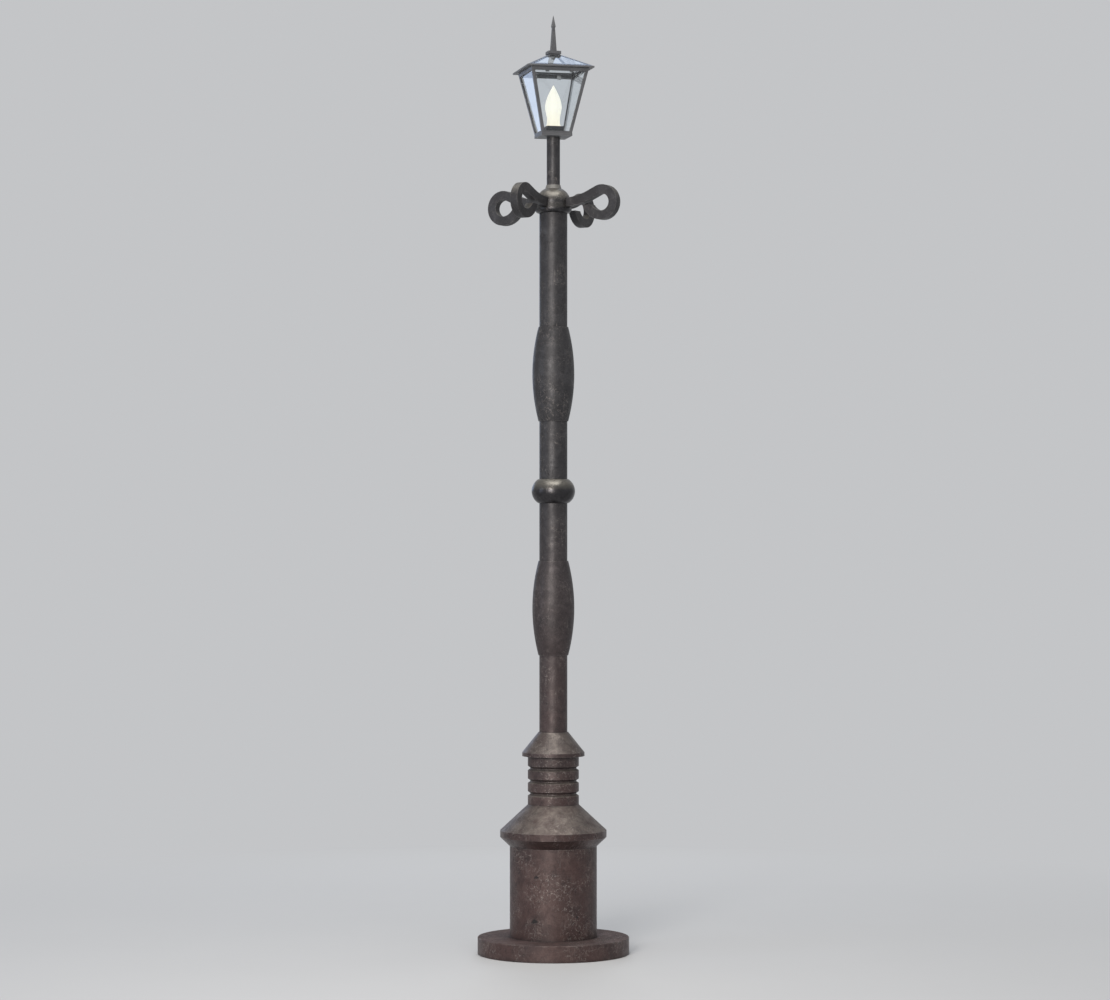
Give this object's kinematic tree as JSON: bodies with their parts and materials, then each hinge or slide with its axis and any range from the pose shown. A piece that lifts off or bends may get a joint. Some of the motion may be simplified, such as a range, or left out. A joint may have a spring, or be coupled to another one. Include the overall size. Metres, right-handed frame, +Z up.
{
  "type": "street lamp",
  "caption": "Victorian-style iron lamp post with a round pedestal, scroll brackets and a square glazed lantern with a hinged roof and a lit bulb.",
  "frame": {"origin": "centre of the base disc's underside, on the ground", "axes": "+Z up the post, -Y towards the front face of the lantern, +Y towards the access door"},
  "size_m": [0.548, 0.548, 3.4],
  "materials": {
    "post_iron": "weathered dark paint on cast iron, mottled brown-grey, speckled and scratched",
    "post_steel": "weathered dark paint on steel tube",
    "lantern_metal": "smooth dark grey paint, lightly worn",
    "clear_glass": "clear flat glass",
    "lit_bulb": "lit frosted glass",
    "holder_ceramic": "plain ceramic",
    "dark_sheet": "dark painted sheet",
    "plated_steel": "zinc plated",
    "lock_brass": "dull brass",
    "board_plastic": "plain board",
    "fuse_plastic": "grey moulding",
    "carrier_plastic": "black moulding",
    "gland_plastic": "black moulding"
  },
  "bodies": {
    "post": {"base_plate": "post_iron", "board_screws": "plated_steel", "bracket_bolts": "plated_steel", "bracket_collar": "post_iron", "bulb": "lit_bulb", "cable_glands": "gland_plastic", "column_tube": "post_steel", "cutout_base": "fuse_plastic", "door_hinge_pins": "plated_steel", "flange_bolts": "plated_steel", "frame_screws": "plated_steel", "fuse_carrier": "carrier_plastic", "gear_board": "board_plastic", "holder_box": "dark_sheet", "lampholder": "holder_ceramic", "lantern_base": "lantern_metal", "lantern_frame": "lantern_metal", "lantern_tube": "post_steel", "lower_sleeve": "post_iron", "mid_ring": "post_iron", "neck": "post_iron", "neck_cap": "post_iron", "pane_clips": "plated_steel", "pedestal": "post_iron", "pedestal_cap": "post_iron", "roof_hinge_pins": "plated_steel", "scroll_bracket_1": "post_iron", "scroll_bracket_2": "post_iron", "scroll_bracket_3": "post_iron", "scroll_bracket_4": "post_iron", "set_screws": "plated_steel", "side_pane_1": "clear_glass", "side_pane_2": "clear_glass", "side_pane_3": "clear_glass", "side_pane_4": "clear_glass", "tube_ferrule": "post_steel", "upper_sleeve": "post_iron"},
    "roof": {"roof_frame": "lantern_metal", "roof_cap": "lantern_metal", "finial": "lantern_metal", "finial_nut": "plated_steel", "roof_pane_1": "clear_glass", "roof_pane_2": "clear_glass", "roof_pane_3": "clear_glass", "roof_pane_4": "clear_glass"},
    "door": {"access_door": "post_iron", "lock_barrel": "lock_brass", "lock_nut": "plated_steel"},
    "door_lock": {"lock_cam": "plated_steel"}
  },
  "joints": [
    {"name": "roof_hinge", "type": "hinge", "parent": "post", "child": "roof", "pos_m": [0, 0.1131, 3.1917], "axis": [-1, 0, 0], "range_deg": [0, 105]},
    {"name": "door_hinge", "type": "hinge", "parent": "post", "child": "door", "pos_m": [-0.074, 0.14859, 0.224], "axis": [0, 0, 1], "range_deg": [0, 110]},
    {"name": "lock_turn", "type": "hinge", "parent": "door", "child": "door_lock", "pos_m": [0.03873, 0.15153, 0.224], "axis": [-0.2476, -0.9689, 0], "range_deg": [0, 90]}
  ]
}
